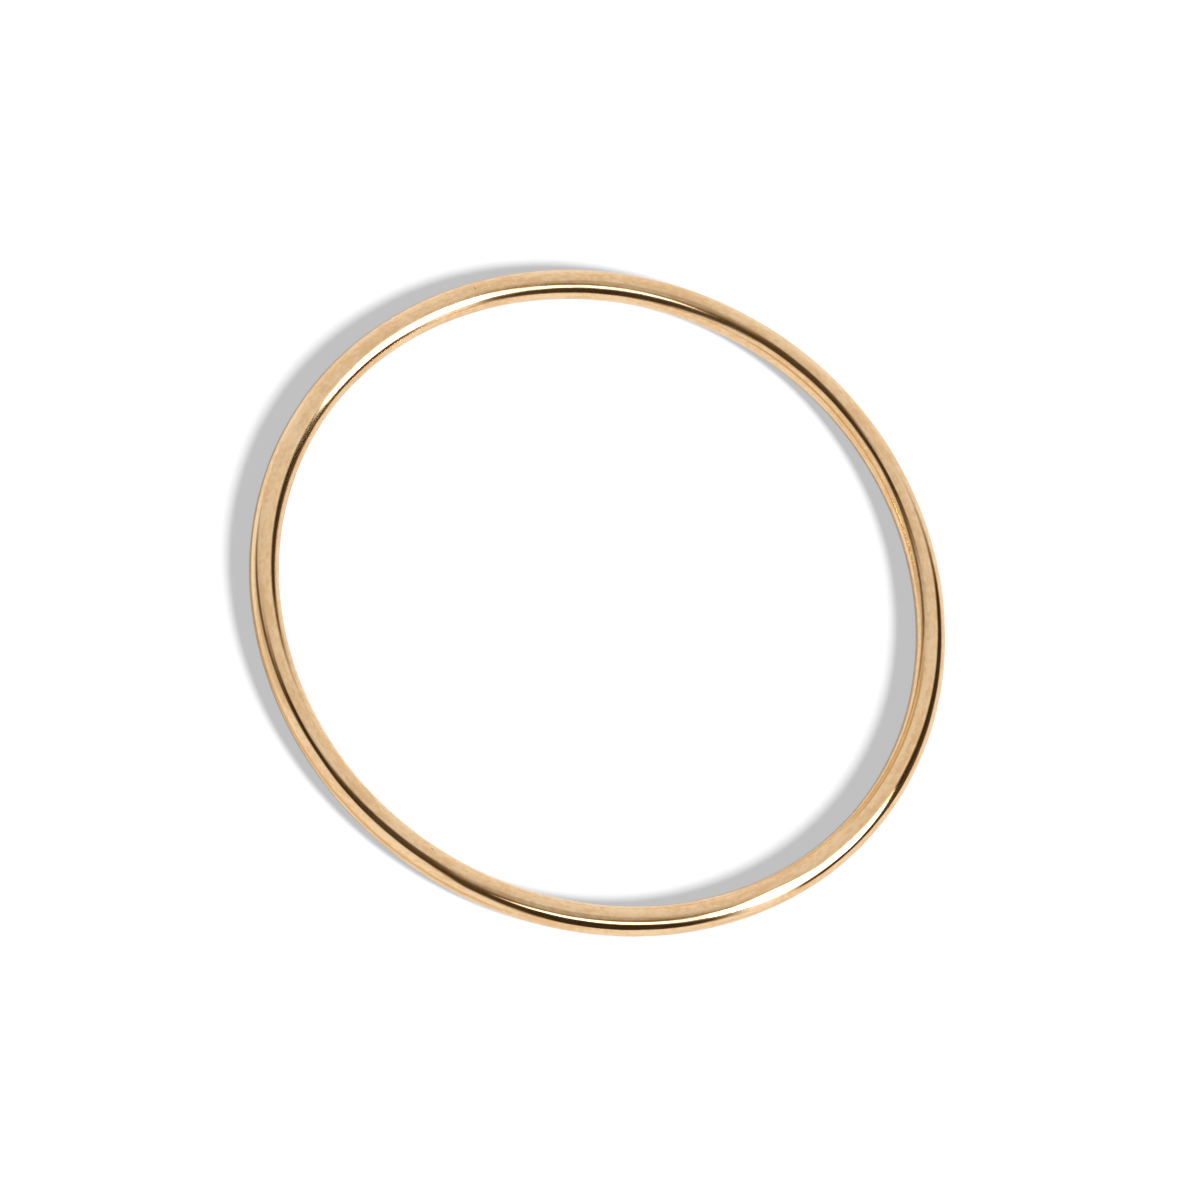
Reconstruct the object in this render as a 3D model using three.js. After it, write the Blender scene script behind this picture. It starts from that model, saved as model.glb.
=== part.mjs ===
// A plain stackable finger ring: one closed hoop of round gold wire, polished all over,
// with no stone, setting or open seam.
//
// Millimetres, +Z up. The ring lies flat on the plane z = 0, and the origin is the
// centre of the finger hole on that plane.

import * as THREE from 'three';

// Driving dimensions.
const FINGER_HOLE_DIAMETER = 17.3; // across the inside of the hoop, ring size 7
const WIRE_DIAMETER = 0.8; // 20 gauge round wire

// How finely the two round shapes are divided into flat faces.
const WIRE_SIDES = 24; // flats around the wire, one each at the top, bottom, inside and outside
const HOOP_STEPS = 120; // straight steps around the hoop

// Finish of polished yellow gold.
const GOLD_COLOUR = 0xf9d1a0;
const GOLD_ROUGHNESS = 0.12;
const GOLD_METALNESS = 1.0;

// Sizes that follow from the driving dimensions.
const WIRE_RADIUS = WIRE_DIAMETER / 2;
const CENTRE_LINE_RADIUS = FINGER_HOLE_DIAMETER / 2 + WIRE_RADIUS;

// The outline of the wire where a plane through the hoop's axis cuts it: a regular
// polygon whose flats touch the round wire, closed on itself. X is the distance from
// the hoop's axis and Y the height above the resting plane.
function wireOutline() {
  const turnPerFlat = (2 * Math.PI) / WIRE_SIDES;
  const cornerRadius = WIRE_RADIUS / Math.cos(turnPerFlat / 2);
  const outline = [];
  for (let corner = 0; corner <= WIRE_SIDES; corner += 1) {
    const turn = ((corner % WIRE_SIDES) + 0.5) * turnPerFlat;
    const fromAxis = CENTRE_LINE_RADIUS + cornerRadius * Math.cos(turn);
    const height = WIRE_RADIUS + cornerRadius * Math.sin(turn);
    outline.push(new THREE.Vector2(fromAxis, height));
  }
  return outline;
}

function polishedGold() {
  return new THREE.MeshStandardMaterial({
    color: GOLD_COLOUR,
    roughness: GOLD_ROUGHNESS,
    metalness: GOLD_METALNESS,
  });
}

// The whole ring: the wire outline carried once round the finger hole's axis. A lathe
// turns about +Y, so the hoop is laid over to turn about +Z.
function ringHoop() {
  const hoop = new THREE.Mesh(new THREE.LatheGeometry(wireOutline(), HOOP_STEPS), polishedGold());
  hoop.name = 'ring_hoop';
  hoop.rotation.x = Math.PI / 2;
  return hoop;
}

const stackableRing = new THREE.Group();
stackableRing.add(ringHoop());

export default stackableRing;
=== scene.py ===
# %% [markdown]
# # A stackable ring in polished gold
#
# A stacking ring is about the plainest jewel there is: a length of round gold wire, bent
# round a mandrel, soldered into one and polished. With no stone and no pattern to look at,
# everything that the eye gets comes from three things: the roundness of the wire, the
# colour of the metal, and what the metal mirrors. This lesson builds those three in turn.
#
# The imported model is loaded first, because it fixes the ring's size and place.

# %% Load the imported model
from collections import namedtuple
from math import cos, pi, radians, sin

import bpy
import numpy as np
from mathutils import Matrix, Vector


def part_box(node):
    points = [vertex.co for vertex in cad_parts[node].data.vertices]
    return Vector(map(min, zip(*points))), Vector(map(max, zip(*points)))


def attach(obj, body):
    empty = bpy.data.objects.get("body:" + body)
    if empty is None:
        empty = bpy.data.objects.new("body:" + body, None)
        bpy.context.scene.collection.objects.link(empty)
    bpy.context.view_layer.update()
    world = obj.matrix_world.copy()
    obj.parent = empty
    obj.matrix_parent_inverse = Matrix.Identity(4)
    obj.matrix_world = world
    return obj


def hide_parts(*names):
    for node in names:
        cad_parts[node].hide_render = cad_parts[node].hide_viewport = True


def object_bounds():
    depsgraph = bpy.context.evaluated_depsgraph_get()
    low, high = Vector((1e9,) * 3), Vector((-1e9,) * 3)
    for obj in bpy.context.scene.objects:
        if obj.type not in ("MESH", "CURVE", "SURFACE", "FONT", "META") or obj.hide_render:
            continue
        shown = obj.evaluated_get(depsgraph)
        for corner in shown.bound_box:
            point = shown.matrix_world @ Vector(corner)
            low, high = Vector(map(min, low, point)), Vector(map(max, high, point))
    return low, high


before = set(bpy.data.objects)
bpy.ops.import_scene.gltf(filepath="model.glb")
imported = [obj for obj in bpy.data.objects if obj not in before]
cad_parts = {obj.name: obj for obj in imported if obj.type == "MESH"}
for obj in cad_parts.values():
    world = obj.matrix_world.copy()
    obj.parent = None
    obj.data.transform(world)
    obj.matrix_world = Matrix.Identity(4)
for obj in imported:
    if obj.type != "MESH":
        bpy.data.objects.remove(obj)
MILLIMETRE = 0.001
MICROMETRE = 0.000001
cad_low, cad_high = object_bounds()
print("the packed ring measures, in mm:", [round(side / MILLIMETRE, 3) for side in cad_high - cad_low])

# %% [markdown]
# ## Sizes
#
# Two sizes describe the whole ring: how wide the hoop is, and how thick its wire is. Both
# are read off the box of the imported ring, which lies flat: half the box's width is the
# hoop's outer radius, and the box's height is the wire's thickness. Writing the rest in
# terms of these two keeps the picture true if the ring is ever made in another size.

# %% Sizes of the hoop and its wire
ring_low, ring_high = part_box("ring_hoop")
OUTER_RADIUS = (ring_high.x - ring_low.x) / 2
WIRE_RADIUS = (ring_high.z - ring_low.z) / 2
CENTRE_LINE_RADIUS = OUTER_RADIUS - WIRE_RADIUS
HOLE_RADIUS = CENTRE_LINE_RADIUS - WIRE_RADIUS
TABLE_HEIGHT = ring_low.z
print(f"wire {2 * WIRE_RADIUS / MILLIMETRE:.2f} mm thick, hole {2 * HOLE_RADIUS / MILLIMETRE:.2f} mm wide")

# %% [markdown]
# ## The hoop, as a jeweller leaves it
#
# A perfect torus looks like plastic. A real hoop is rounded on a mandrel with a mallet, so
# it is out of round by a few hundredths of a millimetre, and filing and polishing take a
# little more off one side than the other. None of this is seen as a shape. It is seen in
# the reflections, which swell, thin out and waver as they run along the wire.
#
# Each of these small errors is a cosine wave that runs a whole number of times round the
# hoop, so that it meets itself. Short tables hold them, one row for each wave.
#
# One more error is local. Rings that are worn together rub, and where they do, the round
# wire gets a small flat. It is a hundredth of a millimetre deep, and it shows only as a
# swelling in the highlight that runs over it. A boolean cut would leave hard edges and
# stray corners, so the flat is worked out with the rest of the surface, edges rounded.

# %% Small errors of a hand-made hoop
# Out of round: waves round the hoop, depth in mm, and the angle of a crest in degrees.
OUT_OF_ROUND = [
    {"waves": 2, "depth": 0.024, "crest": 29},
    {"waves": 3, "depth": 0.023, "crest": -24},
    {"waves": 4, "depth": 0.016, "crest": -4},
]
# The wire is thickest at one place and thins out evenly towards the far side.
THINNING = 0.008
THICKEST_AT = 285
# Polishing marks: waves round the hoop, waves round the wire, depth in micrometres, phase.
POLISHING_WAVES = [
    {"hoop": 11, "wire": 1, "depth": 3.0, "phase": 20},
    {"hoop": 17, "wire": 2, "depth": 2.2, "phase": 140},
    {"hoop": 29, "wire": 1, "depth": 1.6, "phase": 75},
    {"hoop": 41, "wire": 2, "depth": 1.0, "phase": 310},
    {"hoop": 67, "wire": 3, "depth": 0.5, "phase": 200},
]
# The worn flat: its middle around the hoop and across the wire, and its length, in degrees,
# then how deep it goes and how rounded its edges are, in millimetres.
FLAT_AROUND = 332
FLAT_ACROSS = 68
FLAT_LENGTH = 15
FLAT_DEPTH = 0.012
FLAT_EDGE = 0.0015
FLAT_CLEARANCE = 0.5  # how far the cutting plane clears the wire elsewhere, in flat depths
LEAST_FACING = 0.1  # keeps the far side of the wire, which the plane never meets, finite


def out_of_round(around):
    """Metres that the centre line lies outside its mean circle: a sum of cosines of whole
    multiples of the angle around the hoop."""
    return sum(
        row["depth"] * MILLIMETRE * np.cos(row["waves"] * (around - radians(row["crest"])))
        for row in OUT_OF_ROUND
    )


def wire_thickness(around):
    """The wire's radius in metres: full at one angle, and less by a raised cosine of the
    angle from there."""
    return WIRE_RADIUS * (1 - THINNING * (1 - np.cos(around - radians(THICKEST_AT))))


def polishing_marks(around, across):
    """Metres taken off the wire by polishing: a sum of raised cosines that run along the
    wire and turn round it, so it is nowhere below zero."""
    return sum(
        row["depth"] * MICROMETRE / 2
        * (1 + np.cos(row["hoop"] * around + row["wire"] * across + radians(row["phase"])))
        for row in POLISHING_WAVES
    )


def worn_flat(around, across):
    """Metres worn off by the neighbouring ring: how far the round wire stands out past a
    plane that cuts it. The plane sinks in along a bell curve and stands clear of the wire
    elsewhere. Half the sum of that height and of the hypotenuse over it and the edge's
    size rounds the edges and never falls below zero."""
    turned = np.angle(np.exp(1j * (around - radians(FLAT_AROUND))))
    bell = np.exp(-((2 * turned / radians(FLAT_LENGTH)) ** 2))
    sunk = FLAT_DEPTH * MILLIMETRE * ((1 + FLAT_CLEARANCE) * bell - FLAT_CLEARANCE)
    facing = np.maximum(np.cos(across - radians(FLAT_ACROSS)), LEAST_FACING)
    stands_out = WIRE_RADIUS - (WIRE_RADIUS - sunk) / facing
    return (stands_out + np.hypot(stands_out, FLAT_EDGE * MILLIMETRE)) / 2


print("out of round at most, in mm:", round(sum(row["depth"] for row in OUT_OF_ROUND), 3))

# %% [markdown]
# ## The surface
#
# The surface is a circle carried round a circle. Two angles name every point: `around`
# runs round the hoop, and `across` runs round the wire, from the outside over the top to
# the inside. Both come back to where they started, so the grid is joined to itself in both
# directions and the mesh has no seam and no pole.
#
# A torus from the Add menu has the same faces, but it couldn't take the errors above. A
# curve with a bevel could, though its wire would twist. A function of two angles, worked
# out for the whole grid at once, says exactly what it makes.

# %% Points of the hoop
STEPS_AROUND = 960
STEPS_ACROSS = 72


def hoop_points(around, across):
    """Points of the wire's surface in metres. The distance from the hoop's axis is the
    centre line's plus the wire's radius times the cosine of the angle across. The height
    is the full wire's radius plus the polished wire's times the sine, so that the wire lies
    on the table all the way round, to within the polishing marks. The centre line is drawn
    in until no crest passes the box."""
    whole_turn = np.linspace(0, 2 * pi, 4 * STEPS_AROUND)
    highest_crest = out_of_round(whole_turn).max()
    centre_line = CENTRE_LINE_RADIUS + out_of_round(around) - highest_crest
    thickness = wire_thickness(around)
    wire = thickness - polishing_marks(around, across) - worn_flat(around, across)
    from_axis = centre_line + wire * np.cos(across)
    height = TABLE_HEIGHT + thickness + wire * np.sin(across)
    return np.stack([from_axis * np.cos(around), from_axis * np.sin(around), height], axis=-1)


steps = np.meshgrid(np.arange(STEPS_AROUND), np.arange(STEPS_ACROSS), indexing="ij")
around = steps[0] * 2 * pi / STEPS_AROUND
across = steps[1] * 2 * pi / STEPS_ACROSS
points = hoop_points(around, across)
highest = points[..., 2].max()
print("points of the hoop:", points.shape, "highest, in mm:", round(highest / MILLIMETRE, 3))

# %% [markdown]
# ## From a grid to a mesh
#
# Each face joins a point to the next one around and the next one across. Taking the step
# numbers modulo the number of steps closes both seams. Going around first and across
# second makes the faces point out of the metal.
#
# Two kinds of coordinates go with the mesh. The UV map is the wire unrolled, for anyone
# who wants to engrave or paint it. The two attributes hold each point's angles as a cosine
# and a sine. A pattern that is made from those follows the wire, and has no seam either,
# because the cosine and sine come back to the same values after a turn.

# %% The hoop's mesh


def closed_grid_faces(rows, columns):
    """Corner numbers of the quads of a grid that joins itself both ways: a point, its
    neighbour in the next row, the one diagonal to it, and its neighbour in the next
    column, all counted modulo the grid."""
    row, column = np.meshgrid(np.arange(rows), np.arange(columns), indexing="ij")
    next_row, next_column = (row + 1) % rows, (column + 1) % columns
    corners = [
        row * columns + column,
        next_row * columns + column,
        next_row * columns + next_column,
        row * columns + next_column,
    ]
    return np.stack(corners, axis=-1).reshape(-1, 4)


def unrolled(rows, columns):
    """A UV pair for each corner of those quads: the share of the way along the wire and
    round it, which runs up to one at the seams instead of falling back to nought."""
    row, column = np.meshgrid(np.arange(rows), np.arange(columns), indexing="ij")
    along = np.stack([row, row + 1, row + 1, row], axis=-1) / rows
    about = np.stack([column, column, column + 1, column + 1], axis=-1) / columns
    return np.stack([along, about], axis=-1).reshape(-1, 2)


def keep_angle(mesh, name, angle):
    """Stores an angle at each point as (cosine, sine, 0)."""
    turned = np.stack([np.cos(angle), np.sin(angle), np.zeros_like(angle)], axis=-1)
    attribute = mesh.attributes.new(name, "FLOAT_VECTOR", "POINT")
    attribute.data.foreach_set("vector", turned.astype(np.float32).ravel())


hoop_mesh = bpy.data.meshes.new("gold_hoop")
hoop_mesh.from_pydata(points.reshape(-1, 3), [], closed_grid_faces(STEPS_AROUND, STEPS_ACROSS))
hoop_mesh.shade_smooth()
unrolled_wire = hoop_mesh.uv_layers.new(name="unrolled_wire")
unrolled_wire.uv.foreach_set("vector", unrolled(STEPS_AROUND, STEPS_ACROSS).astype(np.float32).ravel())
keep_angle(hoop_mesh, "turn_around", around)
keep_angle(hoop_mesh, "turn_across", across)
gold_hoop = bpy.data.objects.new("gold_hoop", hoop_mesh)
bpy.context.scene.collection.objects.link(gold_hoop)
print("faces of the hoop:", len(hoop_mesh.polygons))

# %% [markdown]
# ## Hanging the piece on the frame
#
# The ring has one body, so the new hoop rides on that and stands for the faceted one.
#
# The gold throws a brown glow and a heavy dimness onto a white table close to it. Turning
# off its visibility to rays from matt surfaces leaves the table clean, and its shadow,
# which comes from the lamp, stays.

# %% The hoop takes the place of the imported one
gold_hoop.visible_diffuse = False
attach(gold_hoop, "root")
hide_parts("ring_hoop")
print("gold_hoop rides on root and stands for ring_hoop")

# %% [markdown]
# ## Helpers for shader nodes
#
# Materials below are built from many small nodes, so one helper places a node, sets its
# choices and fills its sockets. A socket is given a plain value, or the output of an
# earlier node, which is then linked.

# %% Placing shader nodes


def fill(tree, socket, value):
    """Links the socket if the value is another node's output, and sets it otherwise."""
    if isinstance(value, bpy.types.NodeSocket):
        tree.links.new(value, socket)
    else:
        socket.default_value = value


def place(tree, kind, sockets=(), **choices):
    """Adds a node, sets its choices, and fills sockets, given as (name or number, value)."""
    node = tree.nodes.new(kind)
    for name, value in choices.items():
        setattr(node, name, value)
    for key, value in sockets:
        fill(tree, node.inputs[key], value)
    return node


def calculate(tree, operation, *values):
    """The result of a math node."""
    return place(tree, "ShaderNodeMath", enumerate(values), operation=operation).outputs[0]


def weigh(tree, value, low, high, to_low=0.0, to_high=1.0):
    """A value that eases from to_low to to_high as the given one goes from low to high."""
    sockets = [("Value", value), ("From Min", low), ("From Max", high)]
    sockets += [("To Min", to_low), ("To Max", to_high)]
    return place(tree, "ShaderNodeMapRange", sockets, interpolation_type="SMOOTHSTEP").outputs[0]


def mixed_colour(tree, share, first, second):
    """The first colour, going over to the second as the share goes from nought to one."""
    mix = place(tree, "ShaderNodeMix", data_type="RGBA")
    for socket, value in zip(COLOUR_MIX_SOCKETS, (share, first, second)):
        fill(tree, mix.inputs[socket], value)
    return mix.outputs[COLOUR_MIX_RESULT]


def new_group(name, inputs, outputs):
    """An empty node group whose sockets are given as (name, type), and its two end nodes."""
    group = bpy.data.node_groups.new(name, "ShaderNodeTree")
    for label, kind in inputs:
        group.interface.new_socket(label, in_out="INPUT", socket_type=kind)
    for label, kind in outputs:
        group.interface.new_socket(label, in_out="OUTPUT", socket_type=kind)
    return group, group.nodes.new("NodeGroupInput"), group.nodes.new("NodeGroupOutput")


FLOAT, VECTOR = "NodeSocketFloat", "NodeSocketVector"
COLOUR_MIX_SOCKETS = (0, 6, 7)  # a Mix node's share, first and second colour
COLOUR_MIX_RESULT = 2
print("a colour mix is filled through its sockets", COLOUR_MIX_SOCKETS)

# %% [markdown]
# ## Polishing lines
#
# The last thing that happens to a ring is a turn on a felt wheel. It leaves lines that run
# along the wire, each a few hundredths of a millimetre wide and a few millimetres long.
# They are the grain that shows in the broad soft reflections.
#
# Stretched noise makes them. The trick is where it is sampled: the four numbers cos, sin
# of the angle around and cos, sin of the angle across are a point on a closed surface in
# four dimensions, so four-dimensional noise read there joins up both ways. Reading it
# slowly along the wire and fast across it stretches every grain into a line, and the
# other way round gives short marks across it. The gold places this one group five times.

# %% A group for grain that follows the wire
grain_inputs = [("Turn Around", VECTOR), ("Turn Across", VECTOR), ("Along", FLOAT)]
grain_inputs += [("Across", FLOAT), ("Start", FLOAT)]
wire_grain, given, result = new_group("wire_grain", grain_inputs, [("Grain", FLOAT)])


def scaled_turn(turn, amount):
    """The cosine and sine in a turn attribute, times an amount."""
    larger = place(wire_grain, "ShaderNodeVectorMath", [(0, turn), ("Scale", amount)], operation="SCALE")
    parts = place(wire_grain, "ShaderNodeSeparateXYZ", [(0, larger.outputs["Vector"])])
    return parts.outputs[0], parts.outputs[1]


along_cos, along_sin = scaled_turn(given.outputs["Turn Around"], given.outputs["Along"])
across_cos, across_sin = scaled_turn(given.outputs["Turn Across"], given.outputs["Across"])
sample = place(wire_grain, "ShaderNodeCombineXYZ", [(0, along_cos), (1, along_sin), (2, across_cos)])
fourth = calculate(wire_grain, "ADD", across_sin, given.outputs["Start"])
grain_noise = place(
    wire_grain, "ShaderNodeTexNoise",
    [("Vector", sample.outputs[0]), ("W", fourth), ("Scale", 1.0), ("Detail", 2.0), ("Roughness", 0.55)],
    noise_dimensions="4D",
)
fill(wire_grain, result.inputs["Grain"], grain_noise.outputs[0])
print("nodes in the grain group:", len(wire_grain.nodes))

# %% [markdown]
# ## Pits
#
# Gold wire is clean, but a magnifier finds a pinhole here and there where gas or grit was
# in the metal. They are scattered with Voronoi cells: each cell has one centre, and only
# the nearest part of a few cells counts. The gold dips its bump in each and paints it dark
# brown there, which is painted shade.

# %% A group for scattered pinholes
pit_inputs = [("Position", VECTOR), ("Spacing", FLOAT), ("Radius", FLOAT), ("Share", FLOAT)]
pinholes_and_painted_shade, given, result = new_group("pinholes_and_painted_shade", pit_inputs, [("Pit", FLOAT)])
cells_per_metre = calculate(pinholes_and_painted_shade, "DIVIDE", 1.0, given.outputs["Spacing"])
cell_sockets = [("Vector", given.outputs["Position"]), ("Scale", cells_per_metre)]
cells = place(pinholes_and_painted_shade, "ShaderNodeTexVoronoi", cell_sockets, feature="F1")
reach = calculate(pinholes_and_painted_shade, "DIVIDE", given.outputs["Radius"], given.outputs["Spacing"])
depth = weigh(pinholes_and_painted_shade, cells.outputs["Distance"], 0.0, reach, 1.0, 0.0)
cell_number = place(pinholes_and_painted_shade, "ShaderNodeSeparateXYZ", [(0, cells.outputs["Color"])]).outputs[0]
chosen = calculate(pinholes_and_painted_shade, "LESS_THAN", cell_number, given.outputs["Share"])
fill(pinholes_and_painted_shade, result.inputs["Pit"], calculate(pinholes_and_painted_shade, "MULTIPLY", depth, chosen))
print("nodes in the pinhole group:", len(pinholes_and_painted_shade.nodes))

# %% [markdown]
# ## Lines from the drawing die
#
# Wire is made by pulling it through holes in a steel plate, each a little smaller. A speck
# on the edge of a hole draws a line along the whole wire, and bending and polishing leave
# stretches of it. Each line here stays at one angle across the wire and fades at its ends.
# The gold dips its bump along each line and mixes an orange into its colour there. That
# orange is a painted reflection of gold along the wire's rims.
#
# The angles themselves aren't stored, only their cosines and sines, and that is enough.
# The dot product of those with the cosine and sine of a chosen angle is the cosine of the
# difference, which is one on the line and falls off on both sides alike.

# %% Masks for single lines
# Where each line lies across the wire, and where it begins and ends around the hoop, in
# degrees.
# Each line is a groove in the bump and a stripe of orange painted reflection in the colour.
DIE_LINES_AND_PAINTED_REFLECTIONS = [
    {"across": 149, "begins": 30, "ends": 98},
    {"across": 127, "begins": -14, "ends": 30},
    {"across": 141, "begins": -40, "ends": 36},
    {"across": 14, "begins": 196, "ends": 290},
    {"across": 158, "begins": 185, "ends": 228},
]
DIE_LINE_HALF_WIDTH = 8
DIE_LINE_FADES_OVER = 12


def cosine_from(tree, turn, angle):
    """The cosine of the difference between a stored angle and a given one in degrees."""
    towards = (cos(radians(angle)), sin(radians(angle)), 0)
    pair = [(0, turn), (1, towards)]
    return place(tree, "ShaderNodeVectorMath", pair, operation="DOT_PRODUCT").outputs["Value"]


def squared_distance_from(tree, turn, angle, unit):
    """The square of the distance from an angle in degrees, counted in a unit in radians. One
    minus the cosine of a small difference of angles is half that difference squared."""
    falls_short = calculate(tree, "SUBTRACT", 1.0, cosine_from(tree, turn, angle))
    return calculate(tree, "MULTIPLY", falls_short, 2 / unit**2)


def die_line_and_painted_reflection(tree, turn_around, turn_across, row):
    """A mask that is one along a narrow line, which fades towards its ends. The cosine of
    the angle from the line's middle says whether a point is between its ends."""
    half_width = radians(DIE_LINE_HALF_WIDTH)
    beside = squared_distance_from(tree, turn_across, row["across"], half_width)
    narrow = weigh(tree, beside, 0.0, 1.0, 1.0, 0.0)
    half_length = (row["ends"] - row["begins"]) / 2
    from_middle = cosine_from(tree, turn_around, (row["begins"] + row["ends"]) / 2)
    at_the_end = cos(radians(half_length))
    well_inside = cos(radians(half_length - DIE_LINE_FADES_OVER))
    between_ends = weigh(tree, from_middle, at_the_end, well_inside)
    return calculate(tree, "MULTIPLY", narrow, between_ends)


print("lines from the die:", len(DIE_LINES_AND_PAINTED_REFLECTIONS))

# %% [markdown]
# ## One dent
#
# A ring that has been handled has a knock somewhere. This one is an ellipse: the squared
# distances from its middle both ways, each counted in half its size that way, add up to one
# at the edge. The gold dips its bump there and paints it dark brown, which is painted shade.

# %% A mask for the dent
# Where the dent is around the hoop and across the wire, in degrees, and half its size along
# the wire and across it.
NICK_AROUND = 144
NICK_ACROSS = 73
NICK_HALF_ALONG = 0.03 * MILLIMETRE
NICK_HALF_ACROSS = 0.07 * MILLIMETRE


def nick_and_painted_shade(tree, turn_around, turn_across):
    """A mask that is one in the middle of the dent and nought from its edge outwards."""
    along_unit, across_unit = NICK_HALF_ALONG / CENTRE_LINE_RADIUS, NICK_HALF_ACROSS / WIRE_RADIUS
    along_wire = squared_distance_from(tree, turn_around, NICK_AROUND, along_unit)
    across_wire = squared_distance_from(tree, turn_across, NICK_ACROSS, across_unit)
    return weigh(tree, calculate(tree, "ADD", along_wire, across_wire), 0.0, 1.0, 1.0, 0.0)


print(f"dent {2 * NICK_HALF_ACROSS / MILLIMETRE:.2f} mm wide across the wire")

# %% [markdown]
# ## Where the gold is grooved and pitted
#
# Besides the die's own lines, faint ones come and go at random. They are one more grain,
# cut off low so that only its crests are left. The felt wheel reaches the top of the wire
# best, so there the faint ones are nearly gone. The die's lines are a little shallower
# wherever the coarse polishing has rubbed them. Along every groove the gold also gets an
# orange painted reflection, as strong as the groove is deep.

# %% Grooves
# How fine the faint grooves are along the hoop and across the wire, and their start.
FAINT_GROOVES = (1.3, 6.5, 40.0)
FAINT_GROOVE_RANGE = (0.53, 0.63)  # values of the grain at a groove's edge and in its middle
FAINT_GROOVE_DEPTH = 0.5  # where a line from the die is one
SIDES_RANGE = (0.1, 0.85)  # height over the centre line, where the top of the wire is one
LEFT_ON_TOP = 0.15
UNWORN_RANGE = (0.3, 0.6)  # values of the coarse lines
LEAST_UNWORN = 0.7


def grooves_and_painted_reflections(tree, turn_around, turn_across, faint_grain, coarse_lines):
    """How deep in a groove a point is: the deepest of the faint ones and of the die's."""
    # The same depth sets how much orange painted reflection the gold mixes in.
    height_on_wire = place(tree, "ShaderNodeSeparateXYZ", [(0, turn_across)]).outputs[1]
    on_the_sides = weigh(tree, height_on_wire, *SIDES_RANGE, 1.0, LEFT_ON_TOP)
    faint = weigh(tree, faint_grain, *FAINT_GROOVE_RANGE, 0.0, FAINT_GROOVE_DEPTH)
    groove_and_painted_reflection = calculate(tree, "MULTIPLY", faint, on_the_sides)
    unworn = weigh(tree, coarse_lines, *UNWORN_RANGE, LEAST_UNWORN, 1.0)
    for row in DIE_LINES_AND_PAINTED_REFLECTIONS:
        line = calculate(tree, "MULTIPLY", die_line_and_painted_reflection(tree, turn_around, turn_across, row), unworn)
        groove_and_painted_reflection = calculate(tree, "MAXIMUM", groove_and_painted_reflection, line)
    return groove_and_painted_reflection


print("a faint groove is", FAINT_GROOVE_DEPTH, "as deep as a line from the die")

# %% Pits
# How wide a cell is, how far a pinhole reaches from its middle, and how many cells have one.
PIT_SPACING = 0.9 * MILLIMETRE
PIT_RADIUS = 0.035 * MILLIMETRE
PITTED_SHARE = 0.16


def pits_and_painted_shade(tree, turn_around, turn_across):
    """How deep in a pinhole or in the dent a point is."""
    # The depth found here also mixes dark brown painted shade into the gold.
    position = place(tree, "ShaderNodeTexCoord").outputs["Object"]
    sockets = [("Position", position), ("Spacing", PIT_SPACING)]
    sockets += [("Radius", PIT_RADIUS), ("Share", PITTED_SHARE)]
    pinhole = place(tree, "ShaderNodeGroup", sockets, node_tree=pinholes_and_painted_shade).outputs["Pit"]
    return calculate(tree, "MAXIMUM", pinhole, nick_and_painted_shade(tree, turn_around, turn_across))


print(f"pinholes up to {2 * PIT_RADIUS / MILLIMETRE:.2f} mm wide")

# %% [markdown]
# ## Polished gold
#
# Gold has no colour under its mirror: it is a metal, so its base colour is the tint of
# what it reflects, a pale warm yellow for a 14 carat alloy. Light that bounces twice off
# gold comes out orange, and here that orange is painted into the base colour along the
# grooves, as a painted reflection. The dark brown in a pit is painted shade.
#
# The rest is finish. A felt-polished surface is a slightly soft mirror, so its roughness
# is low, a little higher where haze and lines are and on the inside, where the wheel
# doesn't fit. Bump works in micrometres here, as the real marks do.

# %% The gold
GOLD_BRIGHT = (0.985, 0.7, 0.42, 1)
GOLD_DEEP = (0.87, 0.56, 0.295, 1)
# The orange painted reflection of gold, mixed in along the grooves.
PAINTED_GOLD_REFLECTION = (0.7, 0.38, 0.12, 1)
# Dark brown painted shade, mixed into the pinholes and the dent.
PAINTED_PIT_SHADE = (0.3, 0.16, 0.05, 1)
TONE_RANGE = (0.8, 1.2)  # of haze and speckle added up, which is about one on average

# How fine each grain is along the hoop and across the wire, and where it starts.
HAZE = (5.0, 1.2, 0.0)
COARSE_LINES = (3.0, 7.0, 10.0)
FINE_LINES = (9.0, 22.0, 20.0)
SPECKLE = (55.0, 4.5, 30.0)

# Roughness, what is added to it, and the values between which that takes effect.
MIRROR_SOFTNESS = 0.055
SOFTER_IN_HAZE = 0.04
SOFTER_ON_FINE_LINES = 0.04
SOFTER_INSIDE = 0.06
SOFTER_IN_A_PIT = 0.4
HAZE_RANGE = (0.4, 0.7)
FINE_LINE_RANGE = (0.45, 0.75)
INSIDE_RANGE = (-0.6, 0.2)  # where the inside of the hoop is minus one and the outside one

# Heights and depths, in micrometres.
COARSE_LINE_HEIGHT = 0.8
FINE_LINE_HEIGHT = 0.35
SPECKLE_HEIGHT = 0.4
GROOVE_DEPTH = 0.6
PIT_DEPTH = 12.0


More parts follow.
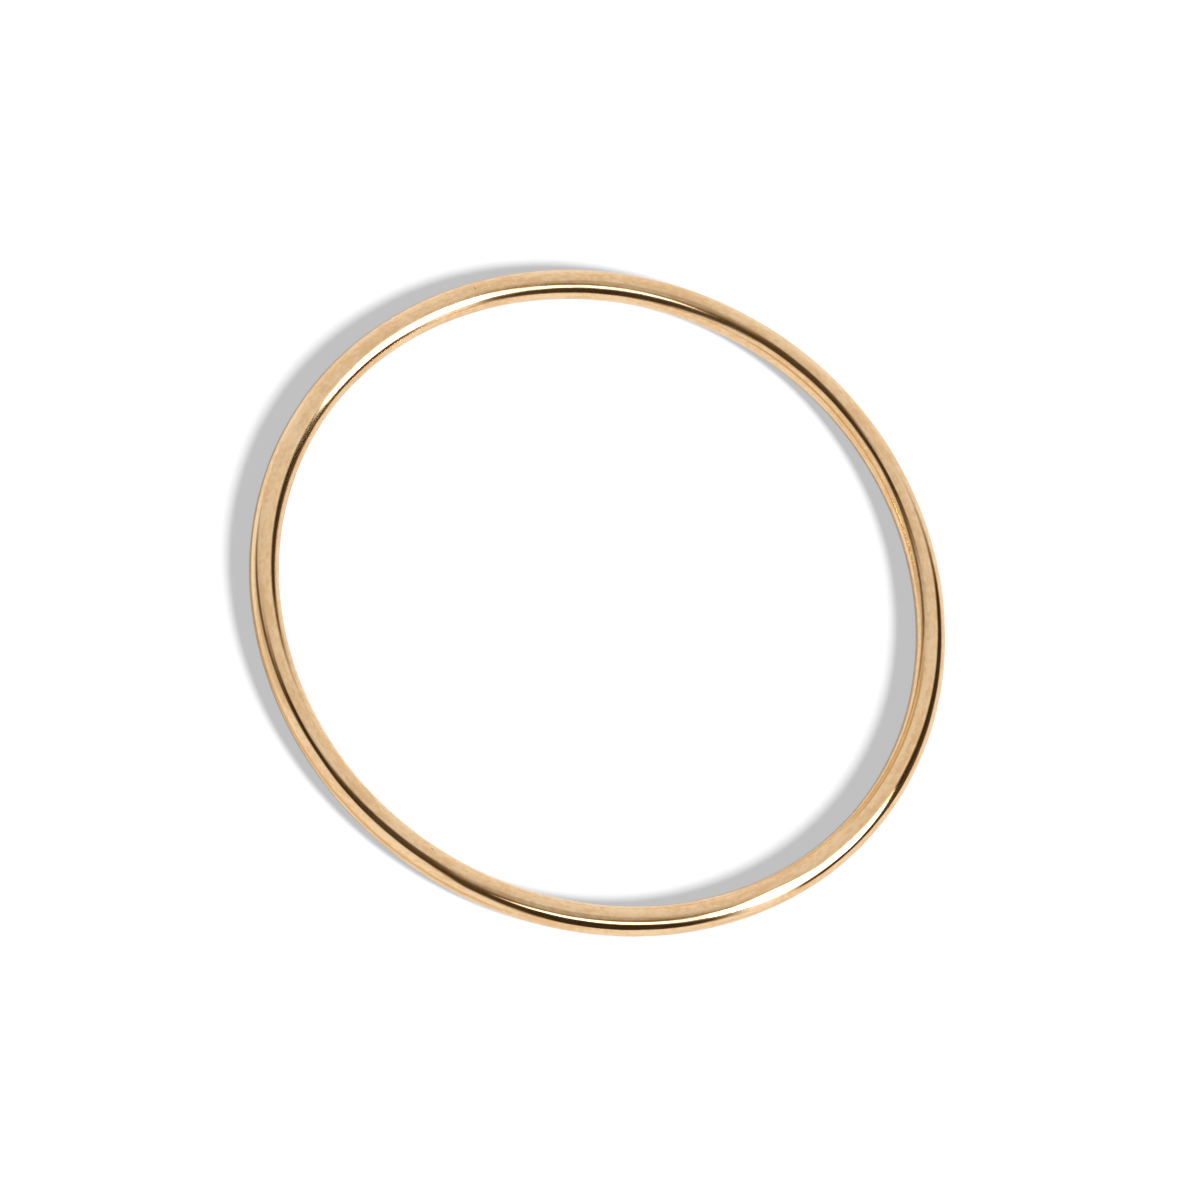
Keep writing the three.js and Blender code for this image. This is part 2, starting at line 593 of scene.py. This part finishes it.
def polished_gold():
    """Tinted metal with a soft mirror finish, polishing lines along the wire, grooves and
    pits."""
    material = bpy.data.materials.new("polished_gold")
    material.use_nodes = True
    tree = material.node_tree
    shader = tree.nodes["Principled BSDF"]
    turn_around = place(tree, "ShaderNodeAttribute", attribute_name="turn_around").outputs["Vector"]
    turn_across = place(tree, "ShaderNodeAttribute", attribute_name="turn_across").outputs["Vector"]

    def grain(along_hoop, across_wire, start):
        """The grain group placed with its three amounts."""
        sockets = [("Turn Around", turn_around), ("Turn Across", turn_across)]
        sockets += [("Along", along_hoop), ("Across", across_wire), ("Start", start)]
        return place(tree, "ShaderNodeGroup", sockets, node_tree=wire_grain).outputs["Grain"]

    haze, speckle = grain(*HAZE), grain(*SPECKLE)
    coarse_lines, fine_lines = grain(*COARSE_LINES), grain(*FINE_LINES)
    groove_and_painted_reflection = grooves_and_painted_reflections(tree, turn_around, turn_across, grain(*FAINT_GROOVES), coarse_lines)
    pit_and_painted_shade = pits_and_painted_shade(tree, turn_around, turn_across)

    tone = weigh(tree, calculate(tree, "ADD", haze, speckle), *TONE_RANGE)
    tint = mixed_colour(tree, tone, GOLD_DEEP, GOLD_BRIGHT)
    # Painted reflection: orange along the grooves.
    tint = mixed_colour(tree, groove_and_painted_reflection, tint, PAINTED_GOLD_REFLECTION)
    # Painted shade: dark brown in the pinholes and the dent.
    tint = mixed_colour(tree, pit_and_painted_shade, tint, PAINTED_PIT_SHADE)

    towards_outside = place(tree, "ShaderNodeSeparateXYZ", [(0, turn_across)]).outputs[0]
    in_haze = weigh(tree, haze, *HAZE_RANGE, 0.0, SOFTER_IN_HAZE)
    on_fine_lines = weigh(tree, fine_lines, *FINE_LINE_RANGE, 0.0, SOFTER_ON_FINE_LINES)
    inside = weigh(tree, towards_outside, *INSIDE_RANGE, SOFTER_INSIDE, 0.0)
    softness = calculate(tree, "ADD", MIRROR_SOFTNESS, in_haze)
    softness = calculate(tree, "ADD", softness, on_fine_lines)
    softness = calculate(tree, "ADD", softness, inside)
    softness = calculate(tree, "MULTIPLY_ADD", pit_and_painted_shade, SOFTER_IN_A_PIT, softness)

    relief = calculate(tree, "MULTIPLY", coarse_lines, COARSE_LINE_HEIGHT)
    relief = calculate(tree, "MULTIPLY_ADD", fine_lines, FINE_LINE_HEIGHT, relief)
    relief = calculate(tree, "MULTIPLY_ADD", speckle, SPECKLE_HEIGHT, relief)
    relief = calculate(tree, "MULTIPLY_ADD", groove_and_painted_reflection, -GROOVE_DEPTH, relief)
    relief = calculate(tree, "MULTIPLY_ADD", pit_and_painted_shade, -PIT_DEPTH, relief)
    bump = place(tree, "ShaderNodeBump", [("Strength", 1.0), ("Distance", MICROMETRE), ("Height", relief)])

    fill(tree, shader.inputs["Base Color"], tint)
    shader.inputs["Metallic"].default_value = 1.0
    fill(tree, shader.inputs["Roughness"], softness)
    fill(tree, shader.inputs["Normal"], bump.outputs["Normal"])
    return material


gold_hoop.data.materials.append(polished_gold())
print("nodes in the gold:", len(gold_hoop.data.materials[0].node_tree.nodes))

# %% [markdown]
# ## The table
#
# Small jewellery is shot on a sheet of matt white board, lit until it burns out to pure
# white, so that nothing but a shadow is left around the ring. A matt white plane does
# that. It is far larger than the ring, so that no view sees its edge.
#
# A camera that burns the board out doesn't burn out its image in the gold, which is a
# little darker. The Light Path node tells the two apart: a ray that comes off the ring's
# mirror finds the board slightly greyer than a ray straight from the camera does.

# %% The white table
TABLE_HALF_WIDTH = 1.5
WHITE_BOARD = (0.95, 0.95, 0.95, 1)
BOARD_IN_THE_GOLD = (0.82, 0.82, 0.82, 1)


def white_board():
    """Matt board with no gloss at all."""
    material = bpy.data.materials.new("white_board")
    material.use_nodes = True
    tree = material.node_tree
    shader = tree.nodes["Principled BSDF"]
    mirrored = place(tree, "ShaderNodeLightPath").outputs["Is Glossy Ray"]
    fill(tree, shader.inputs["Base Color"], mixed_colour(tree, mirrored, WHITE_BOARD, BOARD_IN_THE_GOLD))
    shader.inputs["Roughness"].default_value = 1.0
    shader.inputs["Specular IOR Level"].default_value = 0.0
    return material


corner_signs = [(-1, -1), (1, -1), (1, 1), (-1, 1)]
corners = [(x * TABLE_HALF_WIDTH, y * TABLE_HALF_WIDTH, TABLE_HEIGHT) for x, y in corner_signs]
table_mesh = bpy.data.meshes.new("white_table")
table_mesh.from_pydata(corners, [], [(0, 1, 2, 3)])
table_mesh.materials.append(white_board())
white_table = bpy.data.objects.new("white_table", table_mesh)
bpy.context.scene.collection.objects.link(white_table)
print(f"table {2 * TABLE_HALF_WIDTH:.1f} m wide, at height {TABLE_HEIGHT:.4f} m")

# %% [markdown]
# ## What the gold mirrors
#
# A polished ring shows almost nothing but its surroundings, so the studio is built as
# carefully as the ring. Around a small ring it can be painted straight onto the sky dome:
# white tent cloth on most sides, warm darkness where the camera and its stand are and
# around the light, and one large soft box.
#
# Each patch of that dome is an ellipse, or a box with round corners. The dot products of
# the looking direction with the patch's two axes say how far out a direction lies, counted
# so that the edge is at one. A group holds that sum once, and the patches are laid over
# each other in turn, as a painter lays them.

# %% A group for one patch of the studio
patch_inputs = [("Looking", VECTOR), ("Centre", VECTOR), ("Width Axis", VECTOR), ("Height Axis", VECTOR)]
patch_inputs += [("Squareness", FLOAT), ("Softness", FLOAT), ("Light", FLOAT), ("Behind", FLOAT)]
studio_patch, given, result = new_group("studio_patch", patch_inputs, [("Light", FLOAT)])


def how_far_along(direction_name):
    """How far the looking direction goes along one of the patch's directions."""
    pair = [(0, given.outputs["Looking"]), (1, given.outputs[direction_name])]
    return place(studio_patch, "ShaderNodeVectorMath", pair, operation="DOT_PRODUCT").outputs["Value"]


def raised(value, power):
    """The value's size without its sign, to a power."""
    return calculate(studio_patch, "POWER", calculate(studio_patch, "ABSOLUTE", value), power)


squareness, softness = given.outputs["Squareness"], given.outputs["Softness"]
sideways = raised(how_far_along("Width Axis"), squareness)
upwards = raised(how_far_along("Height Axis"), squareness)
both_ways = calculate(studio_patch, "ADD", sideways, upwards)
how_far_out = raised(both_ways, calculate(studio_patch, "DIVIDE", 1.0, squareness))
soft_from = calculate(studio_patch, "SUBTRACT", 1.0, softness)
soft_to = calculate(studio_patch, "ADD", 1.0, softness)
covered = weigh(studio_patch, how_far_out, soft_from, soft_to, 1.0, 0.0)
in_front = calculate(studio_patch, "GREATER_THAN", how_far_along("Centre"), 0.0)
covered = calculate(studio_patch, "MULTIPLY", covered, in_front)
difference = calculate(studio_patch, "SUBTRACT", given.outputs["Light"], given.outputs["Behind"])
painted = calculate(studio_patch, "MULTIPLY_ADD", covered, difference, given.outputs["Behind"])
fill(studio_patch, result.inputs["Light"], painted)
print("nodes in the patch group:", len(studio_patch.nodes))

# %% [markdown]
# ## The studio's plan
#
# Two tables list the patches: where the middle is, as azimuth from +X and elevation above
# the table, how wide and high it is, and how far it is turned, all in degrees. A squareness
# of 2 gives an ellipse and a larger one squares its corners. Softness is the share of its
# size over which it fades, and light is its brightness, where 1 is white. The camera is at
# azimuth 270, so 0 is on its right hand and 90 is the back.
#
# The soft box is far brighter than white. Only the ring's mirror sees it and the other
# patches. Rays from anything matt find plain even light, and the table gets the box's own
# light from the lamp below. That throws a cleaner shadow, and leaves the costly sums to
# the few rays that need them.

# %% The studio around the ring
TENT_LIGHT = 0.77
LIGHT_ON_THE_TABLE = 0.57
WHITE_FOR_CAMERA = 1.2
WHITE = (1, 1, 1, 1)
WARM_SHADE = (1, 0.76, 0.46, 1)
SHADE_RANGE = (0.1, 0.6)  # between these strengths the shade's warmth gives way to white

Patch = namedtuple("Patch", "azimuth elevation width height turn squareness softness light")
CLOTH_AND_SHADE = [
    Patch(100, 5, 120, 60, 0, 2, 0.8, 0.88),  # bright cloth low down at the back
    Patch(255, 10, 74, 50, 0, 2, 0.6, 0.92),  # bright cloth low down in front
    Patch(196, 26, 34, 60, 0, 2, 0.8, 0.62),  # a duller fold on the left
    Patch(202, 29, 60, 15, 46, 2, 0.5, 0.15),  # the stand's arm
    Patch(244, 56, 58, 29, 0, 2, 0.35, 0.04),  # the stand
    Patch(284, 68, 46, 44, 0, 2, 0.3, 0.08),  # the camera
    Patch(298, 42, 34, 54, 0, 2, 0.3, 0.07),  # dark cloth on the camera's right
    Patch(320, 20, 50, 46, 0, 2, 0.3, 0.04),  # its lower end
    Patch(45, 27, 42, 40, 0, 2, 0.35, 0.04),  # darkness beyond the soft box
    Patch(19, 10, 58, 28, 20, 2, 0.45, 0.08),  # darkness under the soft box
    Patch(335, 72, 36, 28, 0, 2, 0.4, 0.2),  # dim cloth over the camera
    Patch(10, 79, 34, 18, 0, 2, 0.5, 0.5),  # grey cloth at the very top
]
SOFT_BOX = [
    Patch(45, 56, 38, 12, 0, 2, 0.4, 0.85),  # its glow on the cloth behind it
    Patch(330, 52, 36, 15, -18, 2, 0.35, 3.2),  # a narrow side flap
    Patch(352, 12, 12, 40, 0, 2, 0.5, 1.1),  # its glow on the cloth below it
    Patch(12, 41, 31, 38, -16, 3, 0.1, 5.0),  # the box itself
]


def direction(azimuth, elevation):
    """A unit vector from two angles in degrees."""
    turn, rise = radians(azimuth), radians(elevation)
    return Vector((cos(turn) * cos(rise), sin(turn) * cos(rise), sin(rise)))


def patch_directions(patch):
    """The patch's middle, and its width and height axes: one level and one square to it,
    turned about the middle, each divided by the sine of half the patch's size that way."""
    centre = direction(patch.azimuth, patch.elevation)
    level = Vector((0, 0, 1)).cross(centre).normalized()
    turned = Matrix.Rotation(radians(patch.turn), 3, centre)
    width_axis = turned @ level / sin(radians(patch.width / 2))
    height_axis = turned @ centre.cross(level) / sin(radians(patch.height / 2))
    return centre, width_axis, height_axis


def painted_over(tree, looking, light, patches):
    """The light from a direction, after every patch is laid over what is behind it."""
    for patch in patches:
        centre, width_axis, height_axis = patch_directions(patch)
        sockets = [("Looking", looking), ("Centre", centre), ("Width Axis", width_axis)]
        sockets += [("Height Axis", height_axis), ("Squareness", patch.squareness)]
        sockets += [("Softness", patch.softness), ("Light", patch.light), ("Behind", light)]
        light = place(tree, "ShaderNodeGroup", sockets, node_tree=studio_patch).outputs["Light"]
    return light


def background(tree, strength, colour=WHITE):
    """Light of a strength and colour from all round."""
    return place(tree, "ShaderNodeBackground", [("Color", colour), ("Strength", strength)]).outputs[0]


def studio():
    """A dome of tent cloth with a dark side and a soft box to the ring's mirror, even light
    to matt surfaces, and plain white to the camera."""
    world = bpy.data.worlds.new("studio")
    world.use_nodes = True
    tree = world.node_tree
    tree.nodes.clear()
    looking = place(tree, "ShaderNodeTexCoord").outputs["Generated"]
    ray = place(tree, "ShaderNodeLightPath")
    cloth = painted_over(tree, looking, TENT_LIGHT, CLOTH_AND_SHADE)
    light = painted_over(tree, looking, cloth, SOFT_BOX)
    colour = mixed_colour(tree, weigh(tree, light, *SHADE_RANGE), WARM_SHADE, WHITE)
    mirrored = background(tree, light, colour)
    even = background(tree, LIGHT_ON_THE_TABLE)
    white = background(tree, WHITE_FOR_CAMERA)
    sockets = [(0, ray.outputs["Is Glossy Ray"]), (1, even), (2, mirrored)]
    around_ring = place(tree, "ShaderNodeMixShader", sockets)
    sockets = [(0, ray.outputs["Is Camera Ray"]), (1, around_ring.outputs[0]), (2, white)]
    everything = place(tree, "ShaderNodeMixShader", sockets)
    place(tree, "ShaderNodeOutputWorld", [("Surface", everything.outputs[0])])
    return world


bpy.context.scene.world = studio()
print("patches of the studio:", len(CLOTH_AND_SHADE) + len(SOFT_BOX))

# %% [markdown]
# ## The flash in the soft box
#
# The painted soft box gives the highlight. Its flash also throws the shadow, and a Sun
# lamp does that: its light is the same everywhere on the table, and its angle sets how
# soft the shadow's edge is.

# %% The key light
KEY_AZIMUTH = 357
KEY_ELEVATION = 40
KEY_ANGLE = 16
KEY_STRENGTH = 2.8

key = bpy.data.lights.new("soft_box_flash", "SUN")
key.energy = KEY_STRENGTH
key.angle = radians(KEY_ANGLE)
key_light = bpy.data.objects.new("soft_box_flash", key)
key_light.rotation_mode = "QUATERNION"
key_light.rotation_quaternion = direction(KEY_AZIMUTH, KEY_ELEVATION).to_track_quat("Z", "Y")
bpy.context.scene.collection.objects.link(key_light)
print(f"key light {KEY_ELEVATION} degrees up, {KEY_ANGLE} degrees wide")

# %% [markdown]
# ## The camera
#
# The ring is looked at from well above, 64 degrees over the plane it lies in, with the
# camera turned a little over a third of a right angle about its own line of sight, which
# is what makes the oval lean. A long lens keeps the oval regular: its near and far sides
# come out the same size.

# %% The camera
CAMERA_ELEVATION = 64
CAMERA_AZIMUTH = 270
CAMERA_ROLL = 34.1
LENS = 400
SENSOR = 36
RING_SHARE_OF_PICTURE = 0.6
CLIP_FACTOR = 10  # it sees from a tenth of its distance to ten times as far

picture_width = 2 * OUTER_RADIUS / RING_SHARE_OF_PICTURE
distance = picture_width * LENS / SENSOR
ring_centre = (cad_low + cad_high) / 2
from_ring = direction(CAMERA_AZIMUTH, CAMERA_ELEVATION)
upright = from_ring.to_track_quat("Z", "Y").to_matrix()

camera_data = bpy.data.cameras.new("camera")
camera_data.lens = LENS
camera_data.sensor_width = SENSOR
camera_data.clip_start = distance / CLIP_FACTOR
camera_data.clip_end = distance * CLIP_FACTOR
camera = bpy.data.objects.new("camera", camera_data)
rolled = upright @ Matrix.Rotation(radians(CAMERA_ROLL), 3, "Z")
camera.matrix_world = Matrix.Translation(ring_centre + from_ring * distance) @ rolled.to_4x4()
bpy.context.scene.collection.objects.link(camera)
bpy.context.scene.camera = camera
print(f"camera {distance / MILLIMETRE:.0f} mm from the ring, view {picture_width / MILLIMETRE:.1f} mm wide")

# %% [markdown]
# ## Colour handling
#
# The Standard view shows light values as they are, so a white table is white. The film
# look that Blender starts with would grey it and dull the gold.

# %% View
bpy.context.scene.view_settings.view_transform = "Standard"
bpy.context.scene.view_settings.look = "None"
print("view:", bpy.context.scene.view_settings.view_transform)
